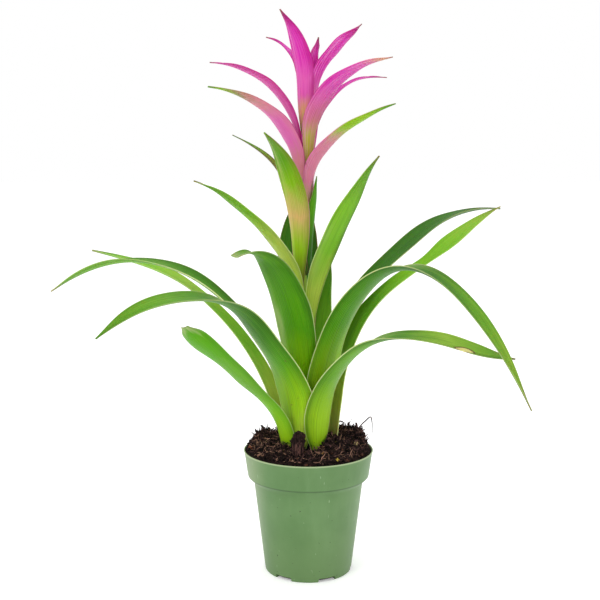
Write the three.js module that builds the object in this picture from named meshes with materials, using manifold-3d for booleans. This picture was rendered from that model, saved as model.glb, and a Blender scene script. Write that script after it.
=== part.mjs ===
// A potted guzmania: a rosette of strap leaves round a short stem, a flower stem dressed in pink bracts,
// peat, one chunk of bark, and a thin plastic nursery pot with a stacking band and drainage slots.
// Millimetres, +Z up. The origin is the middle of the pot's flat base, on the surface that it stands on.
// Bearings are degrees from +X towards +Y, and the front of the plant faces -Y.
import * as THREE from 'three';
import { mergeVertices } from 'three/addons/utils/BufferGeometryUtils.js';
import Module from 'manifold-3d';

const wasm = await Module();
wasm.setup();

// The pot
const POT_HEIGHT = 114;
const POT_RIM_RADIUS = 60;
const POT_BASE_RADIUS = 40.5;
const POT_BODY_TOP_RADIUS = 50.8;
const POT_BAND_FOOT_RADIUS = 56.2;
const POT_BAND_FOOT_HEIGHT = 91.5;
const POT_BODY_TOP_HEIGHT = 85.5;
const POT_WALL = 1.2;
const POT_WALL_RISE_IN_STEP = 0.6;
const POT_FOOT_ROUNDING = 1.5;
const POT_SIDES = 48;
const SLOT_COUNT = 6;
const SLOT_WIDTH = 17;
const SLOT_HEIGHT = 3.6;
const SLOT_DEPTH = 9;
const SLOT_OVERRUN = 1;
const FIRST_SLOT_BEARING = -65;

// The clear space between a piece and the one that it stands in or grows from
const FIT_GAP = 0.35;

// The peat. PEAT_HOLE is the hole for the plant, as [radius, height] points from its floor upwards. Each of
// PEAT_LUMPS is a ripple in the surface: its rise, its radians per millimetre along X and Y, and its phase.
const PEAT_SIDE_GAP = 1.4;
const PEAT_RADIUS = POT_RIM_RADIUS - POT_WALL - PEAT_SIDE_GAP;
const PEAT_EDGE_HEIGHT = 110.5;
const PEAT_CROWN_RISE = 9;
const PEAT_MOUND_RISE = 8;
const PEAT_MOUND_AT = [36, 30];
const PEAT_MOUND_RADIUS = 24;
const PEAT_LUMPS = [[0.65, 0.55, 0.47, 1.3], [0.65, 0.55, -0.47, 1.3], [1.3, 0.36, 0.9, 0]];
const PEAT_HOLE = [[12, 88], [20, 95.5], [24.5, 104], [26.5, 116]];
const PEAT_RINGS = 8;
const PEAT_SIDES = 60;

// The chunk of bark that stands in the peat before the plant: [radius, height above its foot] points
const BARK_AT = [-9, -37];
const BARK_FOOT = 98;
const BARK_PROFILE = [[0, 0], [4.6, 0], [5.2, 8], [5, 18], [4.9, 27], [5.5, 33], [5, 38], [2.6, 41], [0, 42]];
const BARK_SIDES = 11;
const BARK_FURROWS = 4;
const BARK_FURROW_DEPTH = 0.13;
const BARK_TWIST = 0.08;

// The stem: [height, radius] pairs, stout in the peat and slender above, on a line that bows a little
const STEM_PROFILE = [
  [90, 0], [90, 5.5], [93, 9], [125, 9], [150, 7], [200, 5], [280, 4], [390, 3.2], [440, 2.4], [462, 1.2],
  [463.5, 0],
];
const STEM_BOW = [[90, -2], [150, -2], [280, -6], [390, -2.5], [462, 3]];
const STEM_SIDES = 12;

// Blades. An outline holds shares of the full width at even steps from root to tip. A blade leaves the stem
// with an extra lean that dies away over its spread, and the lower a leaf starts, the further it spreads.
const MARGIN_SHARE = 0.6;
const WALK_STEPS = 8;
const ROSETTE_TOP = 130;
const ROSETTE_SPREAD_PER_DROP = 0.67;
const LEAF = {
  thickness: 1.2, rings: 17, columns: 6, channel: 0.55, flareLean: 60, spread: 3,
  outline: [0.15, 0.7, 1.08, 1, 0.95, 0.95, 0.95, 0.88, 0.7, 0.42, 0.04],
};
const STEM_LEAF = {
  thickness: 1.1, rings: 13, columns: 6, channel: 0.5, flareLean: 15, spread: 10,
  outline: [0.25, 0.36, 0.55, 0.8, 0.96, 1, 0.97, 0.86, 0.66, 0.36, 0.05],
};
const BRACT = {
  thickness: 0.9, rings: 12, columns: 4, channel: 0.5, flareLean: 25, spread: 10,
  outline: [0.3, 0.48, 0.7, 0.9, 1, 1, 0.95, 0.82, 0.6, 0.33, 0.05],
};
const BLUNT_OUTLINE = [0.15, 0.7, 0.98, 0.98, 0.92, 0.9, 0.96, 1.08, 1.2, 1.15, 0.6];
const ARCHED_OUTLINE = [0.15, 0.7, 1.08, 1, 0.95, 0.84, 0.66, 0.52, 0.42, 0.26, 0.04];
const TAPERED_OUTLINE = [0.15, 0.7, 1.08, 1, 0.95, 0.88, 0.76, 0.68, 0.56, 0.34, 0.04];
const BROAD_OUTLINE = [0.15, 0.7, 1, 0.92, 0.93, 1, 1.08, 1.02, 0.82, 0.45, 0.12];
const TWISTED_OUTLINE = [0.15, 0.7, 1.08, 1, 0.82, 0.6, 0.6, 0.7, 0.62, 0.38, 0.04];
const REAR_OUTLINE = [0.2, 0.5, 0.58, 0.62, 0.7, 0.85, 1, 0.98, 0.8, 0.45, 0.05];

// Every blade, from the lowest to the highest of its kind. node is the height where it leaves the stem.
// Bearings run from root to tip. So do leans, which are degrees from upright at even steps along the blade,
// and rolls, which are degrees that the blade turns about its own midrib.
const LEAVES = [
  {
    node: 95, bearings: [24, 22], length: 333, width: 28, leans: [2, 6, 22, 45, 61, 53, 66],
    rolls: [0, 0, 0, 5, 15, 20],
  },
  {
    node: 95, bearings: [224, 228], length: 204, width: 22, leans: [2, 11, 40, 50, 50, 53, 44],
    rolls: [0, 0, 5, 10, 16, 22], outline: BLUNT_OUTLINE,
  },
  {
    node: 96, bearings: [296, 312, 326, 334], length: 287, width: 29, leans: [3, 6, 36, 56, 83, 102, 92],
    rolls: [0, 0, 0, -2, 5, 22, 28],
  },
  {
    node: 98, bearings: [157, 149], length: 332, width: 25, leans: [2, 17, 36, 50, 68, 79, 81],
    outline: TWISTED_OUTLINE,
  },
  { node: 103, bearings: [112, 112], length: 165, width: 19, leans: [2, 20, 50, 58, 64] },
  { node: 108, bearings: [84, 90], length: 158, width: 18, leans: [2, 21, 50, 62, 72] },
  {
    node: 104, bearings: [246, 225, 215], length: 318, width: 37, leans: [2, 12, 40, 44, 77, 102, 125],
    rolls: [0, 0, 0, 0, -8, -14, -14], outline: TAPERED_OUTLINE,
  },
  {
    node: 106, bearings: [309, 313, 315], length: 397, width: 35, leans: [3, 8, 30, 59, 111, 139, 148],
    outline: ARCHED_OUTLINE,
  },
  { node: 109, bearings: [36, 38], length: 376, width: 28, leans: [2, 8, 32, 53, 62, 79, 93] },
  { node: 112, bearings: [178, 166, 162], length: 355, width: 27, leans: [2, 12, 38, 55, 82, 107, 122] },
  { node: 120, bearings: [66, 50], length: 170, width: 22, leans: [4, 10, 15, 12, 8] },
  {
    node: 122, bearings: [252, 249, 238, 227], length: 229, width: 37, leans: [2, 5, 13, 24, 33, 54, 108],
    outline: BROAD_OUTLINE,
  },
  {
    node: 126, bearings: [112, 102, 84, 60], length: 230, width: 42, leans: [3, 4, 6, 8, 12, 20],
    outline: REAR_OUTLINE,
  },
];
const STEM_LEAVES = [
  { node: 203, bearings: [303, 303], length: 212, width: 22, leans: [3, 13, 31, 38, 41, 50] },
  { node: 209, bearings: [229, 222], length: 211, width: 20, leans: [2, 5, 39, 51, 58, 73] },
];
const BRACTS = [
  { node: 248, bearings: [140, 158], length: 184, width: 16, leans: [2, 3, 4, 10, 36, 56, 67] },
  { node: 262, bearings: [244, 246], length: 168, width: 24, leans: [2, 3, 11, 35, 51, 68] },
  { node: 276, bearings: [348, 338], length: 90, width: 18, leans: [3, 4, 5, 4, 3] },
  { node: 300, bearings: [85, 85], length: 140, width: 18, leans: [3, 8, 20, 36, 50, 62] },
  { node: 330, bearings: [328, 328], length: 142, width: 22, leans: [2, 6, 39, 58, 65, 74] },
  { node: 344, bearings: [220, 222], length: 156, width: 21, leans: [3, 6, 30, 52, 68, 77, 87] },
  { node: 353, bearings: [80, 84], length: 130, width: 16, leans: [5, 18, 38, 58, 72, 82] },
  { node: 368, bearings: [308, 315], length: 155, width: 24, leans: [2, 9, 40, 62, 77, 86] },
  { node: 382, bearings: [34, 26], length: 124, width: 15, leans: [3, 16, 40, 55, 79, 91] },
  { node: 390, bearings: [203, 203], length: 120, width: 17, leans: [7, 25, 41, 60, 75, 88] },
  { node: 397, bearings: [84, 84], length: 100, width: 15, leans: [8, 24, 44, 62, 76, 86] },
  { node: 400, bearings: [248, 237], length: 120, width: 20, leans: [4, 2, 3, 27, 46, 57] },
  { node: 420, bearings: [145, 150], length: 88, width: 13, leans: [2, 7, 14, 34, 56, 73] },
  { node: 427, bearings: [355, 316], length: 87, width: 20, leans: [4, 12, 30, 43, 54, 60] },
  { node: 448, bearings: [310, 328], length: 39, width: 14, leans: [3, 6, 8, 9] },
];

// A value part of the way along evenly spaced ones, on a smooth curve through them.
function along(values, share) {
  const at = THREE.MathUtils.clamp(share, 0, 1) * (values.length - 1);
  const i = Math.min(Math.floor(at), values.length - 2);
  const pick = (k) => values[THREE.MathUtils.clamp(k, 0, values.length - 1)];
  const f = at - i;
  const [a, b, c, d] = [pick(i - 1), pick(i), pick(i + 1), pick(i + 2)];
  return b + 0.5 * f * (c - a + f * (2 * a - 5 * b + 4 * c - d + f * (3 * (b - c) + d - a)));
}

// A value read from [place, value] pairs, on straight lines between them.
function between(pairs, place) {
  const last = pairs.length - 1;
  if (place <= pairs[0][0]) return pairs[0][1];
  if (place >= pairs[last][0]) return pairs[last][1];
  const k = pairs.findIndex(([p]) => p > place);
  const [[p0, v0], [p1, v1]] = [pairs[k - 1], pairs[k]];
  return THREE.MathUtils.mapLinear(place, p0, p1, v0, v1);
}

const stemRadius = (height) => between(STEM_PROFILE, height);
const stemX = (height) => between(STEM_BOW, height);
const toRadians = THREE.MathUtils.degToRad;

// How far along itself a blade keeps its extra lean away from the stem.
function spreadOf(blade) {
  return blade.spread + ROSETTE_SPREAD_PER_DROP * Math.max(ROSETTE_TOP - blade.node, 0);
}

// Walks a blade's midrib from its root and returns a frame at each ring: its place, its sideways and inward
// directions, its half-width, and the angle that half the blade is curled through about the stem.
function bladeFrames(blade) {
  const frames = [];
  const steps = blade.rings * WALK_STEPS;
  const rootRadius = stemRadius(blade.node) + FIT_GAP + blade.thickness / 2;
  const rootBearing = toRadians(blade.bearings[0]);
  const point = new THREE.Vector3(
    stemX(blade.node) + rootRadius * Math.cos(rootBearing), rootRadius * Math.sin(rootBearing), blade.node);
  for (let step = 0; step <= steps; step++) {
    const share = step / steps;
    const settled = THREE.MathUtils.smoothstep(share * blade.length, 0, spreadOf(blade));
    const lean = toRadians(along(blade.leans, share) + blade.flareLean * (1 - settled));
    const bearing = toRadians(along(blade.bearings, share));
    const tangent = new THREE.Vector3(
      Math.sin(lean) * Math.cos(bearing), Math.sin(lean) * Math.sin(bearing), Math.cos(lean));
    if (step % WALK_STEPS === 0) {
      const roll = toRadians(along(blade.rolls ?? [0, 0], share));
      const sideways = new THREE.Vector3(-Math.sin(bearing), Math.cos(bearing), 0);
      sideways.applyAxisAngle(tangent, roll);
      const inward = new THREE.Vector3().crossVectors(tangent, sideways);
      const half = 0.5 * blade.width * along(blade.outline, share);
      const reach = Math.hypot(point.x - stemX(point.z), point.y);
      const curl = Math.max((half * Math.max(Math.cos(lean), 0)) / reach, blade.channel);
      frames.push({ point: point.clone(), sideways, inward, half, curl });
    }
    point.addScaledVector(tangent, blade.length / steps);
  }
  return frames;
}

// A closed blade: two faces a thickness apart, each bent to a trough across the midrib.
function bladeGeometry(blade) {
  const { rings, columns, thickness } = blade;
  const positions = [];
  const count = 2 * (columns + 1);
  for (const { point, sideways, inward, half, curl } of bladeFrames(blade)) {
    const radius = half / curl;
    for (let k = 0; k < count; k++) {
      const face = k <= columns ? 1 : -1;
      const j = k <= columns ? k : 2 * columns + 1 - k;
      const u = (2 * j) / columns - 1;
      const skin = face * 0.5 * thickness * (1 - (1 - MARGIN_SHARE) * u * u);
      const outward = radius - skin;
      positions.push(point.clone()
        .addScaledVector(inward, radius - outward * Math.cos(curl * u))
        .addScaledVector(sideways, outward * Math.sin(curl * u)));
    }
  }
  const indices = [];
  for (let ring = 0; ring < rings; ring++) {
    for (let k = 0; k < count; k++) {
      const [a, b] = [ring * count + k, ring * count + ((k + 1) % count)];
      indices.push(a, a + count, b, b, a + count, b + count);
    }
  }
  for (let j = 0; j < columns; j++) {
    const [a, b, c, d] = [j, j + 1, count - 2 - j, count - 1 - j];
    const top = rings * count;
    indices.push(a, b, c, a, c, d, top + a, top + c, top + b, top + a, top + d, top + c);
  }
  const geometry = new THREE.BufferGeometry().setFromPoints(positions);
  geometry.setIndex(indices);
  return geometry;
}

// A three.js geometry as a solid that can be cut and joined.
function toSolid(geometry) {
  const bare = new THREE.BufferGeometry();
  bare.setAttribute('position', geometry.getAttribute('position'));
  if (geometry.index) bare.setIndex(geometry.index);
  const merged = mergeVertices(bare, 1e-3);
  return new wasm.Manifold(new wasm.Mesh({
    numProp: 3,
    vertProperties: merged.getAttribute('position').array,
    triVerts: new Uint32Array(merged.index.array),
  }));
}

function toGeometry(solid) {
  const { vertProperties, triVerts } = solid.getMesh();
  const geometry = new THREE.BufferGeometry();
  geometry.setAttribute('position', new THREE.BufferAttribute(vertProperties, 3));
  geometry.setIndex(new THREE.BufferAttribute(triVerts, 1));
  return geometry;
}

// A closed solid of revolution about +Z from [radius, height] points that start and end on the axis.
function turned(points, sides) {
  const profile = points.map(([radius, height]) => new THREE.Vector2(radius, height));
  return new THREE.LatheGeometry(profile, sides).rotateX(Math.PI / 2);
}

function potGeometry() {
  const innerBase = POT_BASE_RADIUS - POT_WALL;
  const innerBodyTop = POT_BODY_TOP_RADIUS - POT_WALL;
  const shell = turned([
    [0, 0], [POT_BASE_RADIUS - POT_FOOT_ROUNDING, 0], [POT_BASE_RADIUS, POT_FOOT_ROUNDING],
    [POT_BODY_TOP_RADIUS, POT_BODY_TOP_HEIGHT], [POT_BAND_FOOT_RADIUS, POT_BAND_FOOT_HEIGHT],
    [POT_RIM_RADIUS, POT_HEIGHT], [POT_RIM_RADIUS - POT_WALL, POT_HEIGHT],
    [POT_BAND_FOOT_RADIUS - POT_WALL, POT_BAND_FOOT_HEIGHT + POT_WALL_RISE_IN_STEP],
    [innerBodyTop, POT_BODY_TOP_HEIGHT + POT_WALL_RISE_IN_STEP],
    [innerBase, POT_WALL + POT_FOOT_ROUNDING], [innerBase - POT_FOOT_ROUNDING, POT_WALL], [0, POT_WALL],
  ], POT_SIDES);
  let pot = toSolid(shell);
  for (let i = 0; i < SLOT_COUNT; i++) {
    const bearing = toRadians(FIRST_SLOT_BEARING + (i * 360) / SLOT_COUNT);
    const slot = new THREE.BoxGeometry(SLOT_DEPTH, SLOT_WIDTH, 2 * SLOT_HEIGHT)
      .translate(POT_BASE_RADIUS + SLOT_OVERRUN - SLOT_DEPTH / 2, 0, 0).rotateZ(bearing);
    pot = pot.subtract(toSolid(slot));
  }
  return toGeometry(pot);
}

function stemGeometry() {
  const geometry = turned(STEM_PROFILE.map(([height, radius]) => [radius, height]), STEM_SIDES);
  const position = geometry.getAttribute('position');
  for (let i = 0; i < position.count; i++) {
    position.setX(i, position.getX(i) + stemX(position.getZ(i)));
  }
  return geometry;
}

// The height of the peat's surface: a low dome, a mound at the back right, and lumps.
function peatHeight(x, y) {
  const share = Math.hypot(x, y) / PEAT_RADIUS;
  const dome = PEAT_CROWN_RISE * (1 - share ** 2);
  const mound = PEAT_MOUND_RISE
    * Math.exp(-(((x - PEAT_MOUND_AT[0]) ** 2 + (y - PEAT_MOUND_AT[1]) ** 2) / PEAT_MOUND_RADIUS ** 2));
  const lumps = PEAT_LUMPS.reduce(
    (sum, [rise, alongX, alongY, phase]) => sum + rise * Math.sin(alongX * x + alongY * y + phase), 0);
  return PEAT_EDGE_HEIGHT + dome + mound + lumps;
}

// The peat fills the pot. Its outline goes up the wall, in across the lumps and down the plant's hole.
function peatGeometry() {
  const floor = POT_WALL + FIT_GAP;
  const inset = POT_WALL + PEAT_SIDE_GAP;
  const profile = [
    [0, floor], [POT_BASE_RADIUS - inset, floor], [POT_BODY_TOP_RADIUS - inset, POT_BODY_TOP_HEIGHT],
    [POT_BAND_FOOT_RADIUS - inset, POT_BAND_FOOT_HEIGHT],
  ];
  const [holeRadius] = PEAT_HOLE.at(-1);
  const surfaceStart = profile.length;
  for (let ring = 0; ring <= PEAT_RINGS; ring++) {
    profile.push([THREE.MathUtils.lerp(PEAT_RADIUS, holeRadius, ring / PEAT_RINGS), PEAT_EDGE_HEIGHT]);
  }
  const surfaceEnd = profile.length;
  profile.push(...PEAT_HOLE.slice(0, -1).reverse(), [0, PEAT_HOLE[0][1]]);
  const geometry = turned(profile, PEAT_SIDES);
  const position = geometry.getAttribute('position');
  for (let i = 0; i < position.count; i++) {
    const row = i % profile.length;
    const inwards = THREE.MathUtils.clamp((row - surfaceStart) / PEAT_RINGS, 0, 1);
    position.setX(i, position.getX(i) + inwards * stemX(0));
    if (row >= surfaceStart && row < surfaceEnd) {
      position.setZ(i, peatHeight(position.getX(i), position.getY(i)));
    }
  }
  const peat = toSolid(geometry);
  return toGeometry(peat.subtract(toSolid(barkGeometry(FIT_GAP))));
}

// A furrowed, knobbly post of bark. The clearance widens it all round, for the hole that it stands in.
function barkGeometry(clearance = 0) {
  const profile = BARK_PROFILE.map(([radius, height]) => [
    radius > 0 ? radius + clearance : 0,
    height > 0 ? BARK_FOOT + height : BARK_FOOT - clearance,
  ]);
  const geometry = turned(profile, BARK_SIDES);
  const position = geometry.getAttribute('position');
  for (let i = 0; i < position.count; i++) {
    const [x, y, z] = [position.getX(i), position.getY(i), position.getZ(i)];
    const bearing = Math.atan2(y, x);
    const swell = 1 + BARK_FURROW_DEPTH * Math.cos(BARK_FURROWS * bearing + BARK_TWIST * z);
    position.setXYZ(i, BARK_AT[0] + x * swell, BARK_AT[1] + y * swell, z);
  }
  return geometry;
}

const green = new THREE.MeshStandardMaterial({ color: 0x5fa51c, roughness: 0.45 });
const pink = new THREE.MeshStandardMaterial({ color: 0xd84fa8, roughness: 0.45 });
const plastic = new THREE.MeshStandardMaterial({ color: 0x6f9a62, roughness: 0.5 });
const brown = new THREE.MeshStandardMaterial({ color: 0x2e1d14, roughness: 0.95 });
const bark = new THREE.MeshStandardMaterial({ color: 0x3a241b, roughness: 0.9 });

const plant = new THREE.Group();
function add(name, geometry, material) {
  const mesh = new THREE.Mesh(geometry, material);
  mesh.name = name;
  plant.add(mesh);
}
function addBlades(kind, blades, style, material) {
  blades.forEach((blade, i) => {
    add(`${kind}_${String(i + 1).padStart(2, '0')}`, bladeGeometry({ ...style, ...blade }), material);
  });
}
add('pot', potGeometry(), plastic);
add('peat', peatGeometry(), brown);
add('bark_chunk', barkGeometry(), bark);
add('stem', stemGeometry(), green);
addBlades('leaf', LEAVES, LEAF, green);
addBlades('stem_leaf', STEM_LEAVES, STEM_LEAF, green);
addBlades('bract', BRACTS, BRACT, pink);
export default plant;
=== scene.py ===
# %% [markdown]
# # A potted guzmania
# The plant is a rosette of strap leaves round a short stem. A flower stem dressed in pink bracts rises
# out of it, and it all stands in peat in a thin green nursery pot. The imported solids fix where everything
# is. This lesson gives each solid a fine surface and a finish of its own, and adds what is too small for
# a solid.

# %% Load the frame
import math
import random
import bpy
import numpy as np
from mathutils import Euler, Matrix, Quaternion, Vector, noise


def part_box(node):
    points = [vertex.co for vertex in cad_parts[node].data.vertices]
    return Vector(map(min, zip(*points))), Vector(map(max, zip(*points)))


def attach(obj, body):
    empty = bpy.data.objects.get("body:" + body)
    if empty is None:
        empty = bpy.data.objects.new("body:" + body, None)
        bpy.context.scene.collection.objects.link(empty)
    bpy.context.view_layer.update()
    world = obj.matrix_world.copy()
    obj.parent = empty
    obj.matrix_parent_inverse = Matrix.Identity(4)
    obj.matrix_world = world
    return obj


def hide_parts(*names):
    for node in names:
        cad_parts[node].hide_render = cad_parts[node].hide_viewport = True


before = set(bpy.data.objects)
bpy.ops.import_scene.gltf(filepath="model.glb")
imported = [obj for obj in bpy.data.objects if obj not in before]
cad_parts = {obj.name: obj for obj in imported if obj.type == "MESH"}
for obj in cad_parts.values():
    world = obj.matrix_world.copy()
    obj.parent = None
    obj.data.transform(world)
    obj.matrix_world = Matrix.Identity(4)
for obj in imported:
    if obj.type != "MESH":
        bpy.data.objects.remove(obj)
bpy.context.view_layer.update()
MM = 0.001
_, pot_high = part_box("pot")
POT_HEIGHT = pot_high.z / MM
RIM_RADIUS = pot_high.x / MM
print(len(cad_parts), "solids in the frame")
print("pot", round(POT_HEIGHT, 1), "mm high,", round(2 * RIM_RADIUS, 1), "mm wide")

# %% [markdown]
# The camera comes first, because every later choice is judged through it. The ellipses of the pot's rim
# and foot give its height and pitch, and the pot's width gives the lens once a distance is chosen.

# %% Camera
CAMERA_PLACE = (-0.0078, -0.900, 0.365)
CAMERA_PITCH_DOWN = 7.09
CAMERA_LENS = 59.6
SENSOR_WIDTH = 36

camera_data = bpy.data.cameras.new("camera")
camera_data.lens = CAMERA_LENS
camera_data.sensor_width = SENSOR_WIDTH
camera = bpy.data.objects.new("camera", camera_data)
camera.location = CAMERA_PLACE
camera.rotation_euler = (math.radians(90 - CAMERA_PITCH_DOWN), 0, 0)
bpy.context.scene.collection.objects.link(camera)
bpy.context.scene.camera = camera
print("camera with a", CAMERA_LENS, "mm lens, pitched", CAMERA_PITCH_DOWN, "degrees down")

# %% [markdown]
# The plant was lit in a white studio: light comes softly from everywhere, a little more of it from above
# and in front. A white world gives the soft light and the pale sheen along the leaf margins. Large lamps
# give it a direction. The floor is white, reaches far back, and is bright enough to vanish into the
# background.

# %% Studio
scene = bpy.context.scene
scene.view_settings.view_transform = "Standard"
WHITE = (1, 1, 1, 1)
WORLD_STRENGTH = 1.0
FLOOR_RADIUS = 60
FLOOR_SIDES = 96
FLOOR_GREY = 0.9
FLOOR_GLOW = 0.3
FLOOR_ROUGHNESS = 0.9

world = bpy.data.worlds.new("studio")
world.use_nodes = True
sky = world.node_tree.nodes["Background"]
sky.inputs["Color"].default_value = WHITE
sky.inputs["Strength"].default_value = WORLD_STRENGTH
scene.world = world


def lamp(name, place, aim, size, watts):
    """A square soft box that points at aim."""
    data = bpy.data.lights.new(name, "AREA")
    data.size = size
    data.energy = watts
    light = bpy.data.objects.new(name, data)
    light.location = place
    light.rotation_euler = (Vector(aim) - Vector(place)).to_track_quat("-Z", "Y").to_euler()
    scene.collection.objects.link(light)
    print(name, "lamp,", watts, "W")


lamp("key", place=(-0.9, -1.1, 1.5), aim=(0, 0, 0.25), size=0.9, watts=9)
lamp("top", place=(0.2, 0.6, 1.8), aim=(0, 0, 0.2), size=1.0, watts=5)

bpy.ops.object.select_all(action="DESELECT")
bpy.ops.mesh.primitive_circle_add(vertices=FLOOR_SIDES, radius=FLOOR_RADIUS, fill_type="NGON")
floor = bpy.context.object
floor.name = "floor"
floor_finish = bpy.data.materials.new("floor_white")
floor_finish.use_nodes = True
floor_shader = floor_finish.node_tree.nodes["Principled BSDF"]
floor_shader.inputs["Base Color"].default_value = (FLOOR_GREY, FLOOR_GREY, FLOOR_GREY, 1)
floor_shader.inputs["Roughness"].default_value = FLOOR_ROUGHNESS
floor_shader.inputs["Emission Color"].default_value = WHITE
floor_shader.inputs["Emission Strength"].default_value = FLOOR_GLOW
floor.data.materials.append(floor_finish)

# %% [markdown]
# Every finish below is a sum of a few patterns. Written as a node tree by hand, such sums are hard to
# read. Wire wraps a socket, so that an expression in Python adds the Math nodes itself. Finish is a
# material, with short ways to add the other nodes.


# %% Shader arithmetic
class Wire:
    """A socket of a finish. Arithmetic on it adds Math nodes."""

    def __init__(self, finish, socket):
        self.finish = finish
        self.socket = socket

    def math(self, operation, *others):
        return self.finish.node("ShaderNodeMath", {"operation": operation}, [self, *others])

    def __add__(self, other):
        return self.math("ADD", other)

    def __sub__(self, other):
        return self.math("SUBTRACT", other)

    def __mul__(self, other):
        return self.math("MULTIPLY", other)

    def __rsub__(self, other):
        return self.finish.node("ShaderNodeMath", {"operation": "SUBTRACT"}, [other, self])

    __radd__ = __add__
    __rmul__ = __mul__

    def rise(self, low, high):
        """0 below low, 1 above high, and smooth between. With low above high it falls instead."""
        settings = {"interpolation_type": "SMOOTHSTEP"}
        return self.finish.node("ShaderNodeMapRange", settings, [self, low, high, 0.0, 1.0])

    def axis(self, number):
        """The x, y or z of a place, numbered 0 to 2. The z of object coordinates is the height."""
        return self.finish.node("ShaderNodeSeparateXYZ", {}, [self], number)


def tone(red, green, blue):
    """A colour from its 0 to 255 screen values, as the linear colour that a shader wants."""
    shares = (c / 255 for c in (red, green, blue))
    return (*((s / 12.92 if s < 0.04045 else ((s + 0.055) / 1.055) ** 2.4) for s in shares), 1.0)


class Finish:
    """A material, and short ways to add the nodes that it is made of."""

    def __init__(self, name, **settings):
        self.material = bpy.data.materials.new(name)
        self.material.use_nodes = True
        self.nodes = self.material.node_tree.nodes
        self.links = self.material.node_tree.links
        self.shader = self.nodes["Principled BSDF"]
        self.set(**settings)

    def plug(self, socket, value):
        if isinstance(value, Wire):
            self.links.new(value.socket, socket)
        else:
            socket.default_value = value

    def set(self, **settings):
        """Sets or links sockets of the shader: base_color stands for Base Color."""
        for key, value in settings.items():
            self.plug(self.shader.inputs[key.replace("_", " ").title().replace("Ior", "IOR")], value)

    def node(self, kind, settings, values, output=0):
        """Adds a node, with its settings first. values is a list, or a dict by socket name or number."""
        node = self.nodes.new(kind)
        for key, value in settings.items():
            if key == "stops":
                ramp = node.color_ramp
                while len(ramp.elements) < len(value):
                    ramp.elements.new(1)
                for element, (place, colour) in zip(ramp.elements, value):
                    element.position = place
                    element.color = colour
            else:
                setattr(node, key, value)
        pairs = values.items() if isinstance(values, dict) else enumerate(values)
        for key, value in pairs:
            self.plug(node.inputs[key], value)
        return Wire(self, node.outputs[output])

    def mix(self, share, first, second):
        """The first colour at share 0 and the second at 1. Sockets 6 and 7 are the node's colours."""
        return self.node("ShaderNodeMix", {"data_type": "RGBA"}, {0: share, 6: first, 7: second}, 2)

    def ramp(self, share, stops):
        return self.node("ShaderNodeValToRGB", {"stops": stops}, [share])

    def place(self):
        """Object coordinates, which are the frame's own metres."""
        return self.node("ShaderNodeTexCoord", {}, {}, "Object")

    def across_and_along(self):
        """The UVs of a blade: 0 to 1 from margin to margin, and 0 to 1 from root to tip."""
        place = self.node("ShaderNodeUVMap", {}, {})
        return place.axis(0), place.axis(1)

    def stretched(self, place, scale):
        """A place whose x, y and z are scaled apart, so that a pattern on it is drawn out."""
        return self.node("ShaderNodeMapping", {}, {"Vector": place, "Scale": scale})

    def vector(self, x, y, z):
        return self.node("ShaderNodeCombineXYZ", {}, [x, y, z])

    def noise(self, vector, scale, detail=3.0, roughness=0.55):
        values = {"Vector": vector, "Scale": scale, "Detail": detail, "Roughness": roughness}
        return self.node("ShaderNodeTexNoise", {}, values)

    def bump(self, height, distance, strength=1.0):
        values = {"Height": height, "Distance": distance, "Strength": strength}
        self.set(normal=self.node("ShaderNodeBump", {}, values))


# %% [markdown]
# A few helpers keep the modelling cells short. A new primitive starts from nothing selected, a modifier
# is applied as soon as it is added, and a finished piece is named, painted and tied to the frame in one
# call.


# %% Modelling helpers
def start():
    bpy.ops.object.select_all(action="DESELECT")


def finish_with(piece, kind, **settings):
    """Adds a modifier to a piece and applies it."""
    modifier = piece.modifiers.new(kind.lower(), kind)
    for key, value in settings.items():
        setattr(modifier, key, value)
    bpy.context.view_layer.objects.active = piece
    bpy.ops.object.modifier_apply(modifier=modifier.name)


def hand_over(piece, name, finish, slot, *nodes):
    """Names and paints a piece, ties it to the body and hides the solids it stands for. slot is not used."""
    piece.name = name
    piece.data.name = name
    piece.data.materials.clear()
    piece.data.materials.append(finish.material)
    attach(piece, "root")
    if nodes:
        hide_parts(*nodes)
    piece.data.calc_loop_triangles()
    print(name, len(piece.data.loop_triangles), "triangles")


def smooth(piece, degrees):
    """Shades a piece smooth, apart from edges that are sharper than the angle."""
    start()
    piece.select_set(True)
    bpy.context.view_layer.objects.active = piece
    bpy.ops.object.shade_smooth_by_angle(angle=math.radians(degrees))


def turned(profile, sides):
    """A solid of revolution from (radius, height) points in millimetres, raised ring by ring."""
    start()
    (radius, height), *rest = profile
    bpy.ops.mesh.primitive_circle_add(
        vertices=sides, radius=radius * MM, fill_type="NGON", location=(0, 0, height * MM))
    piece = bpy.context.object
    bpy.ops.object.transform_apply(location=True)
    bpy.ops.object.mode_set(mode="EDIT")
    for next_radius, next_height in rest:
        rise = (0, 0, (next_height - height) * MM)
        bpy.ops.mesh.extrude_region_move(TRANSFORM_OT_translate={"value": rise})
        share = next_radius / radius
        bpy.ops.transform.resize(value=(share, share, 1), center_override=(0, 0, next_height * MM))
        radius, height = next_radius, next_height
    bpy.ops.mesh.select_all(action="SELECT")
    bpy.ops.mesh.normals_make_consistent(inside=False)
    bpy.ops.object.mode_set(mode="OBJECT")
    return piece


def arc(centre, radius, first, last, steps):
    """Points on part of a circle, in degrees from the radius direction towards the height direction."""
    angles = np.radians(np.linspace(first, last, steps))
    return [(centre[0] + radius * math.cos(a), centre[1] + radius * math.sin(a)) for a in angles]


def along(values, share):
    """A value part of the way along evenly spaced ones, on a smooth curve through them."""
    at = min(max(share, 0), 1) * (len(values) - 1)
    i = min(int(at), len(values) - 2)
    f = at - i
    a, b, c, d = (values[min(max(k, 0), len(values) - 1)] for k in (i - 1, i, i + 1, i + 2))
    return b + 0.5 * f * (c - a + f * (2 * a - 5 * b + 4 * c - d + f * (3 * (b - c) + d - a)))


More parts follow.
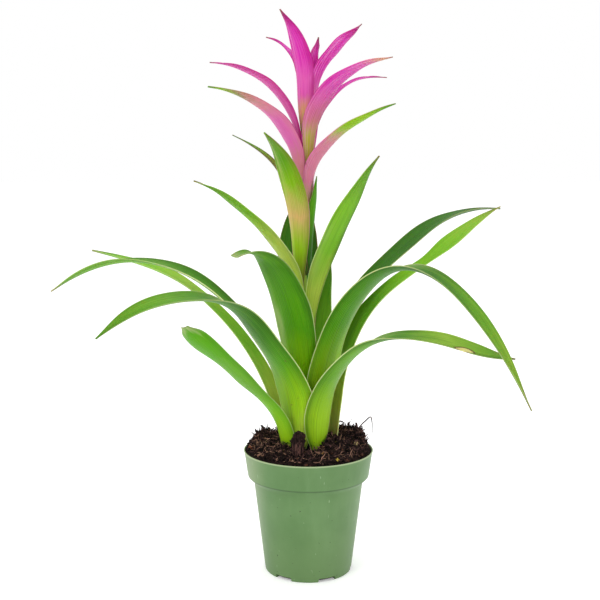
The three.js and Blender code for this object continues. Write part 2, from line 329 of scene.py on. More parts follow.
def smoothstep(value, low, high):
    """0 below low, 1 above high, and smooth between."""
    share = min(max((value - low) / (high - low), 0), 1)
    return share * share * (3 - 2 * share)


def points_of(piece):
    """The piece's vertices as an array of millimetres."""
    flat = np.empty(3 * len(piece.data.vertices))
    piece.data.vertices.foreach_get("co", flat)
    return flat.reshape(-1, 3) / MM


def move_points(piece, points):
    """Puts the piece's vertices at places in millimetres."""
    piece.data.vertices.foreach_set("co", (np.asarray(points) * MM).ravel())
    piece.data.update()


# %% [markdown]
# The pot is moulded from thin polypropylene. Its wall tapers, steps out to a band that stops stacked pots
# from jamming, and ends in a small rounded lip. One disc, raised ring by ring, follows that section up
# the outside, over the lip and down the inside, which gives the wall its true thickness.

# %% Pot
BASE_RADIUS = 40.5
BODY_TOP = (50.8, 85.5)
BAND_FOOT = (56.2, 90.0)
WALL = 1.2
LIP = 0.6
FOOT_CURVE = 1.5
FLAT_BASE = 36
POT_SIDES = 144

foot = arc((BASE_RADIUS - FOOT_CURVE, FOOT_CURVE), FOOT_CURVE, -90, 0, 5)
outside = [(FLAT_BASE, 0), *foot]
outside += [(BODY_TOP[0] - 0.3, BODY_TOP[1] - 1.5), (BODY_TOP[0] + 0.5, BODY_TOP[1] + 0.3)]
outside += [(BAND_FOOT[0] - 0.9, BAND_FOOT[1] - 0.9), (BAND_FOOT[0] - 0.2, BAND_FOOT[1] - 0.1)]
outside += [(BAND_FOOT[0] + 0.1, BAND_FOOT[1] + 0.8), (RIM_RADIUS - 0.75, POT_HEIGHT - 2.6)]
lip = arc((RIM_RADIUS - LIP, POT_HEIGHT - LIP), LIP, -60, 180, 9)
inside = [(BAND_FOOT[0] - WALL, BAND_FOOT[1] + 0.6), (BODY_TOP[0] - WALL, BODY_TOP[1] + 0.6)]
inside += [(BASE_RADIUS - WALL, 2 * FOOT_CURVE), (BASE_RADIUS - WALL - FOOT_CURVE, WALL)]
pot = turned(outside + lip + inside, POT_SIDES)
print("pot wall", WALL, "mm thick")

# %% [markdown]
# Water drains through slots in the corner between wall and floor. Each is cut by a block with rounded
# edges. The blocks are joined first, so one Boolean cuts all of them.

# %% Drainage slots
SLOTS = 6
SLOT_SIZE = (9, 17, 7.2)
SLOT_CORNER = 1.2
SLOT_OVERRUN = 1
FIRST_SLOT_BEARING = -65

cutters = []
reach = (BASE_RADIUS + SLOT_OVERRUN - SLOT_SIZE[0] / 2) * MM
for i in range(SLOTS):
    bearing = math.radians(FIRST_SLOT_BEARING + i * 360 / SLOTS)
    middle = (reach * math.cos(bearing), reach * math.sin(bearing), 0)
    start()
    bpy.ops.mesh.primitive_cube_add(
        size=1, location=middle, rotation=(0, 0, bearing), scale=[s * MM for s in SLOT_SIZE])
    cutters.append(bpy.context.object)
    bpy.ops.object.transform_apply()
    finish_with(cutters[-1], "BEVEL", width=SLOT_CORNER * MM, segments=3)
start()
for cutter in cutters:
    cutter.select_set(True)
bpy.context.view_layer.objects.active = cutters[0]
bpy.ops.object.join()
finish_with(pot, "BOOLEAN", object=cutters[0], operation="DIFFERENCE", solver="EXACT")
bpy.data.objects.remove(cutters[0])
smooth(pot, 40)
print(SLOTS, "drainage slots")

# %% [markdown]
# The plastic is sage green, with cloudy flow marks in it, a satin skin, a few pale scuffs and crumbs of
# soil that stuck to it. Height above the floor makes the lip paler at its top and the pot darker towards
# its foot. The crease under the band is painted darker, as painted shade, and the left side is painted
# paler, as painted light from the left. Object coordinates place the marks, so they stay put in every
# view.

# %% Pot finish
plastic = Finish("pot_plastic", specular_ior_level=0.35)
spot = plastic.place()
height = spot.axis(2)
cloud = plastic.noise(spot, 14.0, 4.0)
flow = plastic.noise(plastic.stretched(spot, (60, 60, 9)), 1.0, 4.0)
green = plastic.mix(cloud.rise(0.3, 0.7), tone(84, 120, 68), tone(102, 136, 84))
green = plastic.mix(flow.rise(0.45, 0.75) * 0.3, green, tone(112, 146, 96))
green = plastic.mix(height.rise(0.08, 0.0) * 0.45, green, tone(84, 112, 62))
# Painted light: the left side is painted paler, as light falling on it from the left.
painted_left_light = spot.axis(0).rise(-0.035, -0.055)
green = plastic.mix(painted_left_light * 0.4, green, tone(140, 150, 112))
scratch = plastic.noise(plastic.stretched(spot, (420, 420, 130)), 1.0, 1.0)
green = plastic.mix(scratch.rise(0.73, 0.78) * 0.5, green, tone(152, 178, 138))
band_foot = BAND_FOOT[1] * MM
# Painted shade: the crease under the band is darkened as the shadow that falls in it.
painted_crease_shade = height.rise(band_foot - 0.0018, band_foot - 0.0004)
painted_crease_shade = painted_crease_shade - height.rise(band_foot - 0.0001, band_foot + 0.0011)
green = plastic.mix(painted_crease_shade * 0.6, green, tone(50, 74, 42))
pot_top = POT_HEIGHT * MM
# The lip is paler at its top.
paler_lip_top = height.rise(pot_top - 0.0016, pot_top - 0.0006)
green = plastic.mix(paler_lip_top * 0.7, green, tone(176, 190, 146))
speck = plastic.noise(spot, 380.0, 2.0, 0.6)
green = plastic.mix(speck.rise(0.725, 0.745) * 0.85, green, tone(48, 44, 30))
plastic.set(base_color=green, roughness=0.36 + cloud * 0.16)
plastic.bump(flow * 0.6 + cloud, 0.0006, 0.35)
hand_over(pot, "nursery_pot", plastic, "pot_plastic", "pot")

# %% [markdown]
# Peat is not a smooth dome but a heap: clods, crumbs, and shreds of root and stalk that stick out of it.
# The dome is a disc drawn in from the pot's wall to its middle in many rings, then lifted by a height
# that adds clods to the swell of the solid.

# %% Peat bed
PEAT_RADIUS = 58.2
PEAT_EDGE = 112.6
PEAT_DOME = 13
PEAT_SIDES = 240
PEAT_RINGS = 90
PEAT_HUB = 0.3
CLODS = 2.6
GRIT = 1.5
HEAPS = [  # place across and back, reach and height
    (49, 14, 12, 13), (32, 26, 15, 7), (-46, 14, 13, 9), (-22, 34, 16, 4),
    (3, -27, 9, -8), (-20, -10, 7, -4), (24, -16, 10, 4), (-30, -32, 9, 2),
]


def peat_height(x, y):
    """The height of the peat's surface in millimetres."""
    share = math.hypot(x, y) / PEAT_RADIUS
    height = PEAT_DOME * (1 - share ** 2)
    for heap_x, heap_y, reach, rise in HEAPS:
        height += rise * math.exp(-((x - heap_x) ** 2 + (y - heap_y) ** 2) / reach ** 2)
    clods = CLODS * noise.fractal(Vector((x, y, 7)) * 0.15, 0.8, 2.1, 4)
    grit = GRIT * noise.fractal(Vector((x, y, 3)) * 0.6, 0.7, 2.0, 3)
    return PEAT_EDGE + (height + clods) * (1 - share ** 14) + grit * (1 - 0.6 * share ** 8)


side_wall = [(38, 1.6), (47.5, 84), (53, 92), (57.4, 108)]
rings = []
for i in range(PEAT_RINGS + 1):
    radius = PEAT_RADIUS * (1 - i / PEAT_RINGS) + PEAT_HUB * i / PEAT_RINGS
    rings.append((radius, PEAT_EDGE))
peat = turned(side_wall + rings, PEAT_SIDES)
spots = points_of(peat)
surface = spots[:, 2] > PEAT_EDGE - 1
spots[surface, 2] = [peat_height(x, y) for x, y, _ in spots[surface]]
move_points(peat, spots)
smooth(peat, 180)
print("peat rises to", round(float(spots[:, 2].max()), 1), "mm")

# %% [markdown]
# Damp peat is nearly black, with brown where it has dried. Two noises, one of clod size and one of grit
# size, mix its browns and give the bump its depth. It has hardly any gloss.

# %% Peat finish
soil = Finish("peat", roughness=0.95, specular_ior_level=0.12)
spot = soil.place()
coarse = soil.noise(spot, 260.0, 5.0, 0.7)
fine = soil.noise(spot, 900.0, 3.0, 0.7)
dark = soil.mix(coarse.rise(0.35, 0.7), tone(7, 5, 6), tone(50, 34, 32))
dark = soil.mix(fine.rise(0.56, 0.72) * 0.5, dark, tone(110, 78, 66))
soil.set(base_color=dark)
soil.bump(coarse + fine * 0.5, 0.002, 1.0)
hand_over(peat, "peat_bed", soil, "peat", "peat")

# %% [markdown]
# Crumbs, fibres and shreds make the peat's surface. A few lumpy balls and thin rods are modelled and
# copied many times, each copy with its own size, turn and bend, into one mesh for each kind. The draws
# are seeded, so every run gives the same heap.


# %% Scattering
LEAST_BEND = 0.001


def template_of(piece):
    """The vertices and faces of a modelled piece, which is then removed."""
    points = np.array([v.co[:] for v in piece.data.vertices])
    faces = [tuple(p.vertices) for p in piece.data.polygons]
    bpy.data.objects.remove(piece)
    return points, faces


def scattered(name, copies):
    """One object from many (points in millimetres, faces) copies."""
    points = []
    faces = []
    for copy_points, copy_faces in copies:
        shift = len(points)
        points.extend(tuple(p * MM for p in point) for point in copy_points)
        faces.extend(tuple(i + shift for i in face) for face in copy_faces)
    mesh = bpy.data.meshes.new(name)
    mesh.from_pydata(points, [], faces)
    mesh.update()
    piece = bpy.data.objects.new(name, mesh)
    scene.collection.objects.link(piece)
    return piece


def lump(seed, detail, rough):
    """A lumpy ball of radius 1."""
    start()
    bpy.ops.mesh.primitive_ico_sphere_add(subdivisions=detail, radius=1)
    ball = bpy.context.object
    for v in ball.data.vertices:
        swell = 1 + rough * noise.noise(v.co * 1.7 + Vector((seed, 0, 0)))
        v.co *= swell + 0.5 * rough * noise.noise(v.co * 4 + Vector((0, seed, 0)))
    return template_of(ball)


def rod(sides, steps):
    """A rod of radius 1 from height 0 to height 1, tapered at both ends."""
    start()
    bpy.ops.mesh.primitive_circle_add(vertices=sides, radius=0.5, fill_type="NGON")
    bpy.ops.object.mode_set(mode="EDIT")
    width = 0.5
    for i in range(1, steps + 1):
        share = i / steps
        next_width = 0.35 + 0.65 * math.sin(math.pi * min(share + 0.1, 1)) ** 0.5
        bpy.ops.mesh.extrude_region_move(TRANSFORM_OT_translate={"value": (0, 0, 1 / steps)})
        bpy.ops.transform.resize(value=[next_width / width] * 2 + [1], center_override=(0, 0, share))
        width = next_width
    bpy.ops.mesh.select_all(action="SELECT")
    bpy.ops.mesh.normals_make_consistent(inside=False)
    bpy.ops.object.mode_set(mode="OBJECT")
    return template_of(bpy.context.object)


def bent_rod(template, foot, aim, length, thick, bend, flat=1.0, wiggle=0.0, phase=0.0):
    """A copy of a rod that starts at foot, sets out along aim and curls through bend radians."""
    points, faces = template
    turn = Vector(aim).to_track_quat("Z", "Y")
    made = []
    for x, y, z in points:
        angle = bend * z
        if abs(bend) > LEAST_BEND:
            radius = length / bend
            spine = Vector((radius * (1 - math.cos(angle)), 0, radius * math.sin(angle)))
        else:
            spine = Vector((0, 0, length * z))
        side = Vector((math.cos(angle), 0, -math.sin(angle)))
        sway = wiggle * math.sin(9 * z + phase)
        spot = spine + side * (x * thick) + Vector((0, y * thick * flat + sway, 0))
        made.append(Vector(foot) + turn @ spot)
    return made, faces


def threaded(template, path, thick):
    """A copy of a rod that follows a smooth path of points."""
    points, faces = template
    made = []
    for x, y, z in points.tolist():
        tangent = (along(path, z + 0.02) - along(path, z - 0.02)).normalized()
        side = tangent.cross(Vector((0.1, 1, 0.1))).normalized()
        made.append(along(path, z) + side * (x * thick) + tangent.cross(side) * (y * thick))
    return made, faces


# %% [markdown]
# Crumbs are lumpy balls, and most are small, because the size comes from the cube of the draw. The small
# ones are made from coarser balls, as nobody sees their facets. Each one sinks a little into the bed.

# %% Crumbs
CRUMBS = 1100
CRUMB_SIZES = (0.4, 2.5)
LUMPINESS = 0.9
draw = random.Random(41)
small_lumps = [lump(seed, 1, LUMPINESS) for seed in range(3)]
large_lumps = [lump(seed, 2, LUMPINESS) for seed in range(3, 8)]


def on_peat(draw, reach):
    """A random spot on the peat, no further than reach from its middle."""
    radius = reach * math.sqrt(draw.random())
    bearing = draw.uniform(0, 2 * math.pi)
    x, y = radius * math.cos(bearing), radius * math.sin(bearing)
    return x, y, peat_height(x, y)


def crumb(template, place, size, draw, squeeze=(0.6, 1.0)):
    """A copy of a lump with its own turn, squeezed along two of its axes."""
    points, faces = template
    turn = Euler([draw.uniform(0, 6.28) for _ in range(3)]).to_matrix()
    stretch = Vector((size, size * draw.uniform(*squeeze), size * draw.uniform(*squeeze)))
    return [Vector(place) + turn @ (Vector(p) * stretch) for p in points], faces


crumbs = []
for _ in range(CRUMBS):
    size = CRUMB_SIZES[0] + (CRUMB_SIZES[1] - CRUMB_SIZES[0]) * draw.random() ** 3
    x, y, z = on_peat(draw, PEAT_RADIUS - size)
    template = draw.choice(large_lumps if size > 1 else small_lumps)
    crumbs.append(crumb(template, (x, y, z + 0.25 * size), size, draw))
crumb_piece = scattered("peat_crumbs", crumbs)
crumb_finish = Finish("peat_crumb", roughness=0.95, specular_ior_level=0.12)
spot = crumb_finish.place()
coarse = crumb_finish.noise(spot, 170.0, 3.0)
fine = crumb_finish.noise(spot, 1500.0, 3.0, 0.7)
brown = crumb_finish.mix(coarse.rise(0.35, 0.65), tone(8, 6, 6), tone(52, 36, 33))
brown = crumb_finish.mix(coarse.rise(0.6, 0.7) * 0.7, brown, tone(118, 76, 56))
crumb_finish.set(base_color=brown)
crumb_finish.bump(fine, 0.0008, 0.9)
hand_over(crumb_piece, "peat_crumbs", crumb_finish, "peat")

# %% [markdown]
# Five odd bits catch the eye: chips of wood and a grain of clay. Each is a crumb with a place and a tone
# of its own, stained with darker peat.

# %% Odd bits
ODD_BITS = [  # place, size, tone
    ((43.5, -8), 2.6, tone(196, 176, 122)),
    ((-53, -3), 3.0, tone(126, 66, 44)),
    ((25.5, -44.5), 1.7, tone(206, 178, 70)),
    ((-33, 4), 1.6, tone(150, 112, 92)),
    ((12, -38), 1.5, tone(172, 130, 62)),
]
BIT_SQUEEZE = (0.5, 1.1)
for i, ((x, y), size, colour) in enumerate(ODD_BITS):
    place = (x, y, peat_height(x, y) + 0.5 * size)
    bit = scattered("bit", [crumb(large_lumps[i], place, size, draw, BIT_SQUEEZE)])
    bit_finish = Finish(f"peat_bit_{i + 1}", roughness=0.85, specular_ior_level=0.2)
    stain = bit_finish.noise(bit_finish.place(), 700.0, 3.0)
    bit_finish.set(base_color=bit_finish.mix(stain.rise(0.45, 0.7), colour, tone(70, 44, 34)))
    bit_finish.bump(stain, 0.0006, 0.8)
    hand_over(bit, f"peat_bit_{i + 1}", bit_finish, "peat")

# %% [markdown]
# Most fibres lie nearly flat and the others stand up. Dark ones are root and peat moss, and pale ones are
# coir. Where the peat is torn, most of all at the left and at the back right, shreds of it stand in
# tufts.

# %% Fibres and shreds
DARK_FIBRES = 1900
DARK = dict(lengths=(3, 10), widths=(0.2, 0.5), upright=0.35)
# Tufts of shreds: place across and back, spread, and how many.
TUFTS = [(-44, 16, 13, 90), (40, 24, 18, 150), (48, 10, 9, 50), (-18, 44, 14, 40), (22, -18, 12, 40)]
# Two roots that stand out against the white, by the points that they pass through.
WIRE_ROOT = [(47, 14, 129), (50, 14, 133), (54, 15, 136.5), (58.5, 16, 140), (60, 15, 136), (60.6, 14, 125)]
HOOK_ROOT = [(26, 22, 124), (28, 23, 131), (30, 23, 134), (33, 22, 133.5), (34, 22, 131)]
thin_rod = rod(3, 6)
flat_rod = rod(4, 4)
draw = random.Random(73)


def lying(draw, lengths, widths, upright):
    """A fibre at a random spot, nearly flat on the peat or, by the share upright, standing out of it."""
    x, y, z = on_peat(draw, PEAT_RADIUS - 5)
    bearing = draw.uniform(0, 2 * math.pi)
    climb = draw.uniform(0.4, 1.3) if draw.random() < upright else draw.uniform(0.0, 0.35)
    aim = (math.cos(bearing) * math.cos(climb), math.sin(bearing) * math.cos(climb), math.sin(climb))
    length = draw.uniform(*lengths)
    reach = math.hypot(x + aim[0] * length, y + aim[1] * length)
    if reach > PEAT_RADIUS - 0.5:
        aim = (-aim[0], -aim[1], aim[2])
    return bent_rod(
        thin_rod, (x, y, z), aim, length, draw.uniform(*widths), draw.uniform(-1.6, 1.6),
        wiggle=draw.uniform(0, 0.5), phase=draw.uniform(0, 6))


def gathered(draw, groups):
    """Random spots in groups, each thickest at its middle."""
    for x, y, spread, count in groups:
        for _ in range(count):
            yield draw.gauss(x, spread / 2), draw.gauss(y, spread / 2)


dark_fibres = [lying(draw, **DARK) for _ in range(DARK_FIBRES)]
for x, y in gathered(draw, TUFTS):
    if math.hypot(x, y) > PEAT_RADIUS - 1.5:
        continue
    aim = (draw.gauss(0, 0.4), draw.gauss(0, 0.4), 1)
    foot = (x, y, peat_height(x, y) - 0.6)
    length = draw.uniform(2.5, 7.5)
    thick = draw.uniform(0.4, 1.1)
    bend = draw.uniform(-0.9, 0.9)
    dark_fibres.append(bent_rod(flat_rod, foot, aim, length, thick, bend, flat=0.45))
long_rod = rod(4, 18)
for path, thick in ((WIRE_ROOT, 0.6), (HOOK_ROOT, 0.8)):
    dark_fibres.append(threaded(long_rod, [Vector(point) for point in path], thick))
fibre_piece = scattered("dark_fibres", dark_fibres)
dark_finish = Finish("dark_fibre", roughness=0.85, specular_ior_level=0.15)
tint = dark_finish.noise(dark_finish.place(), 220.0, 2.0)
brown = dark_finish.mix(tint.rise(0.4, 0.7), tone(11, 7, 8), tone(104, 74, 70))
dark_finish.set(base_color=brown)
hand_over(fibre_piece, "dark_fibres", dark_finish, "peat")

# %% [markdown]
# Coir fibres are paler than the dark ones, and most are thinner. They lie loose over the rest, some of
# them gathered in nests where a handful of mix was pressed down.

# %% Pale fibres
PALE_FIBRES = 420
PALE = dict(lengths=(3, 10), widths=(0.12, 0.3), upright=0.25)
# Nests of fibres, listed as the tufts are.
NESTS = [(-43, 1, 7, 12), (-22, -13, 9, 18), (-44, -28, 6, 9), (-28, -30, 8, 14), (8, -36, 9, 18)]

pale_fibres = [lying(draw, **PALE) for _ in range(PALE_FIBRES)]
for x, y in gathered(draw, NESTS):
    bearing = draw.uniform(0, 6.28)
    length = draw.uniform(3, 8)
    if math.hypot(x, y) > PEAT_RADIUS - length:
        bearing = math.atan2(-y, -x)
    foot = (x, y, peat_height(x, y) + draw.uniform(0.2, 1.5))
    aim = (math.cos(bearing), math.sin(bearing), draw.uniform(-0.1, 0.5))
    thick = draw.uniform(0.25, 0.5)
    bend = draw.uniform(-2, 2)
    wiggle = draw.uniform(0, 0.6)
    pale_fibres.append(bent_rod(thin_rod, foot, aim, length, thick, bend, wiggle=wiggle))
pale_piece = scattered("pale_fibres", pale_fibres)
pale_finish = Finish("pale_fibre", roughness=0.8, specular_ior_level=0.2)
tint = pale_finish.noise(pale_finish.place(), 160.0, 2.0)
pale_finish.set(base_color=pale_finish.mix(tint, tone(120, 80, 64), tone(206, 160, 136)))
hand_over(pale_piece, "pale_fibres", pale_finish, "peat")

# %% [markdown]
# The chunk of bark stands on end. It is a rod with four blunt corners, deep furrows along the grain and a
# knobby, broken top. The furrows come from noise that changes quickly round the axis and slowly along it,
# so they run the whole height as grain does.

# %% Bark chunk
BARK_AT = (-9, -37)
BARK_HEIGHTS = [98, 106, 116, 125, 131, 136, 139, 139.9]
BARK_RADII = [4.3, 5.2, 5, 4.9, 5.5, 5, 2.6, 0.4]
BARK_RINGS = 64
BARK_SIDES = 120
heights = np.linspace(BARK_HEIGHTS[0], BARK_HEIGHTS[-1], BARK_RINGS)
radii = np.interp(heights, BARK_HEIGHTS, BARK_RADII)
bark = turned(list(zip(radii, heights)), BARK_SIDES)
spots = points_of(bark)
for spot in spots:
    x, y, z = spot
    bearing = math.atan2(y, x)
    east, north = math.cos(bearing), math.sin(bearing)
    swell = 1 + 0.13 * math.cos(4 * bearing + 0.08 * z)
    furrow = abs(noise.noise(Vector((4.5 * east, 4.5 * north, 0.045 * z)))) ** 0.6
    grain = noise.fractal(Vector((3.2 * east, 3.2 * north, 0.05 * z)), 0.7, 2.2, 4)
    knob = noise.noise(Vector((x, y, z)) * 0.5) * (0.5 + 2.4 * smoothstep(z, 126, 132))
    swell += 0.3 * (furrow - 0.35) + 0.14 * grain + 0.16 * knob
    spot[:] = (BARK_AT[0] + x * swell, BARK_AT[1] + y * swell, z + 0.8 * knob)
move_points(bark, spots)
smooth(bark, 180)

bark_finish = Finish("bark", roughness=0.9, specular_ior_level=0.15)
spot = bark_finish.place()
grain = bark_finish.noise(bark_finish.stretched(spot, (900, 900, 60)), 1.0, 5.0, 0.65)
stain = bark_finish.noise(spot, 140.0, 3.0)
brown = bark_finish.mix(grain.rise(0.4, 0.68), tone(18, 10, 10), tone(128, 90, 82))
top = spot.axis(2).rise(0.126, 0.134)
brown = bark_finish.mix(top * 0.7, brown, tone(26, 17, 16))
brown = bark_finish.mix(stain.rise(0.45, 0.65) * 0.6, brown, tone(30, 18, 16))
bark_finish.set(base_color=brown)
bark_finish.bump(grain, 0.002, 1.0)
hand_over(bark, "bark_chunk_fine", bark_finish, "bark", "bark_chunk")

# %% [markdown]
# A blade, leaf or bract, is a strip that leaves the stem inside its neighbour's sheath and arches
# outwards. Walking along its midrib in short steps, with the lean from upright and the bearing read from
# curves, gives its line, and each step carries one row of a grid across it.

# %% Blade curves
STEM_HEIGHTS = [90, 93, 125, 150, 200, 280, 390, 440, 462, 463.5]
STEM_RADII = [5.5, 9, 9, 7, 5, 4, 3.2, 2.4, 1.2, 0]
BOW_HEIGHTS = [90, 150, 280, 390, 462]
BOW = [-2, -2, -6, -2.5, 3]
FIT_GAP = 0.35
MARGIN_SHARE = 0.6
WALK_STEPS = 8
ROSETTE_TOP = 130
ROSETTE_SPREAD_PER_DROP = 0.67


def stem_radius(height):
    """The stem's radius at a height, in millimetres."""
    return float(np.interp(height, STEM_HEIGHTS, STEM_RADII))


def stem_x(height):
    """How far the bowed stem stands from the pot's axis at a height."""
    return float(np.interp(height, BOW_HEIGHTS, BOW))


def walk(blade):
    """The rows of a blade from root to tip: place, sideways, inward, half-width and curl, in millimetres."""
    rows = []
    steps = blade["rings"] * WALK_STEPS
    length = blade["length"]
    spread = blade["spread"] + ROSETTE_SPREAD_PER_DROP * max(ROSETTE_TOP - blade["node"], 0)
    radius = stem_radius(blade["node"]) + FIT_GAP + blade["thickness"] / 2
    bearing = math.radians(blade["bearings"][0])
    root_x = stem_x(blade["node"]) + radius * math.cos(bearing)
    point = Vector((root_x, radius * math.sin(bearing), blade["node"]))
    for step in range(steps + 1):
        share = step / steps
        settled = smoothstep(share * length, 0, spread)
        lean = math.radians(along(blade["leans"], share) + blade["flare"] * (1 - settled))
        bearing = math.radians(along(blade["bearings"], share))
        east = math.sin(lean) * math.cos(bearing)
        north = math.sin(lean) * math.sin(bearing)
        tangent = Vector((east, north, math.cos(lean)))
        roll = math.radians(along(blade.get("rolls", [0, 0]), share))
        sideways = Quaternion(tangent, roll) @ Vector((-math.sin(bearing), math.cos(bearing), 0))
        half = 0.5 * blade["width"] * along(blade["outline"], share)
        reach = math.hypot(point.x - stem_x(point.z), point.y)
        curl = max(half * max(math.cos(lean), 0) / reach, blade["channel"])
        rows.append((point.copy(), sideways, tangent.cross(sideways), half, curl))
        point += tangent * (length / steps)
    return rows


# %% [markdown]
# The grid primitive comes with UVs, which run from margin to margin and from root to tip. Its points are
# laid on the walked rows, each row bent to a trough. A live leaf is never quite true, so its margins wave
# a little towards the tip. Solidify then gives the sheet a thickness that thins out towards the margins.


# %% Blade mesh
MARGIN_RIPPLES = 21
MARGINS_APART = 1.3
ROCKING_RIPPLES = 12
ROCKING_SHARE = 0.6


def blade_mesh(name, blade):
    """A blade laid on its walked rows. u runs from -1 to 1 across it, and v from 0 at the root to 1."""
    rows = walk(blade)
    across = blade["across"]
    start()
    bpy.ops.mesh.primitive_grid_add(x_subdivisions=across, y_subdivisions=len(rows) - 1, size=1)
    piece = bpy.context.object
    spots = points_of(piece) * MM
    draw = random.Random(name)
    first_phase, second_phase = (draw.uniform(0, 6.28) for _ in range(2))
    points = []
    weights = []
    for x, y, _ in spots:
        u = 2 * x
        v = y + 0.5
        place, sideways, inward, half, curl = rows[round(v * (len(rows) - 1))]
        radius = half / curl
        loose = smoothstep(v, 0.25, 0.6) * blade["wave"]
        apart = MARGINS_APART if u > 0 else 0
        wave = loose * u * u * math.sin(MARGIN_RIPPLES * v + first_phase + apart)
        wave += ROCKING_SHARE * loose * u * math.sin(ROCKING_RIPPLES * v + second_phase)
        spot = place + inward * (radius - radius * math.cos(curl * u) + wave)
        points.append(spot + sideways * (radius * math.sin(curl * u)))
        weights.append(1 - (1 - MARGIN_SHARE) * u * u)
    move_points(piece, points)
    group = piece.vertex_groups.new(name="thickness")
    for i, weight in enumerate(weights):
        group.add([i], weight, "REPLACE")
    finish_with(
        piece, "SOLIDIFY", thickness=blade["thickness"] * MM, offset=0, vertex_group="thickness",
        use_quality_normals=True)
    piece.vertex_groups.clear()
    smooth(piece, 70)
    return piece


# %% [markdown]
# The colours of the plant are a small palette: pale yellow-greens for the sheaths, deep and fresh greens
# for the leaves, straw and brown for what has dried, and the pinks of the bracts. Two are painted light:
# a bright glow for sheaths in shade, as light shining through them, and a grey painted sheen.

# %% Tones
TONES = {
    # Painted light: brighter than a sheath's own colour, as light shining through it where it lies in shade.
    "glow": tone(204, 226, 86),
    "sheath": tone(154, 200, 22),
    "yellow": tone(184, 200, 56),
    "lime": tone(130, 188, 4),
    "spring": tone(126, 190, 40),
    "grass": tone(84, 156, 6),
    "leaf": tone(72, 136, 16),
    "deep": tone(54, 112, 12),
    "dark": tone(40, 86, 14),
    "fresh": tone(104, 162, 40),
    "pale": tone(152, 192, 66),
    # Painted sheen: a grey that stands for the studio's reflection on the leaves.
    "sheen_grey": tone(172, 192, 124),
    "edge": tone(214, 226, 160),
    "straw": tone(150, 130, 84),
    "olive": tone(118, 128, 36),
    "cream": tone(226, 216, 140),
    "tan": tone(222, 178, 116),
    "brown": tone(92, 62, 40),
    "blush": tone(208, 126, 142),
    "rose": tone(220, 96, 180),
    "pink": tone(240, 164, 214),
    "magenta": tone(214, 50, 178),
    "crimson": tone(172, 10, 118),
    "wine": tone(142, 36, 84),
}
print(len(TONES), "tones")

# %% [markdown]
# Three marks are painted on some blades only. A smooth, greyish sheen, a painted reflection, lies on the
# half painted as lit where a leaf bends over. Old leaves have brown specks, which are noise cut off high.
# One leaf has a dry, cream patch with a brown rim: the distance from its middle, made ragged by noise,
# decides between the two colours.


# %% Blade marks
# Painted sheen: a grey painted reflection where the blade bends over, on the half painted as lit.
def with_painted_sheen(finish, colour, along_blade, half, share):
    reach = along_blade.rise(0.25, 0.42) * along_blade.rise(0.68, 0.54)
    reach = reach * half.rise(0.3, 0.95)
    return finish.mix(reach * share, colour, TONES["sheen_grey"])


def with_specks(finish, colour, across, along_blade, seed):
    blot = finish.noise(finish.vector(across * 9, along_blade * 60, seed), 1.0, 2.0)
    return finish.mix(blot.rise(0.7, 0.8) * 0.8, colour, TONES["brown"])


def with_dry_patch(finish, colour, across, along_blade, ragged, middle):
    """middle is the patch's place, as shares across and along the blade."""
    aside = (across - middle[0]) * 3.6
    beyond = (along_blade - middle[1]) * 36
    away = aside * aside + beyond * beyond + (ragged - 0.5) * 1.2
    colour = finish.mix(away.rise(1.5, 1.0), colour, TONES["brown"])
    return finish.mix(away.rise(0.9, 0.6), colour, TONES["cream"])


# %% [markdown]
# The colour of a blade changes from its sheath to its tip, along fine parallel streaks. The stops of one
# ramp give the change. Noise that is stretched along the blade pushes the ramp back and forth, so the
# colours run into each other in streaks. Paler streaks lie over it, and painted light adds more of them on
# one half of the blade, while the other half is painted darker as shade. A ripple across the blade draws
# the veins. The margin is a fine line of its own tone with a faint dark one inside it, and the tip has a
# tone of its own too.

# %% Blade finish
FIRST_STOP = 0.06
STOPS_SPAN = 0.88
WAX = dict(specular_ior_level=0.09, subsurface_weight=0.15, subsurface_scale=0.003)


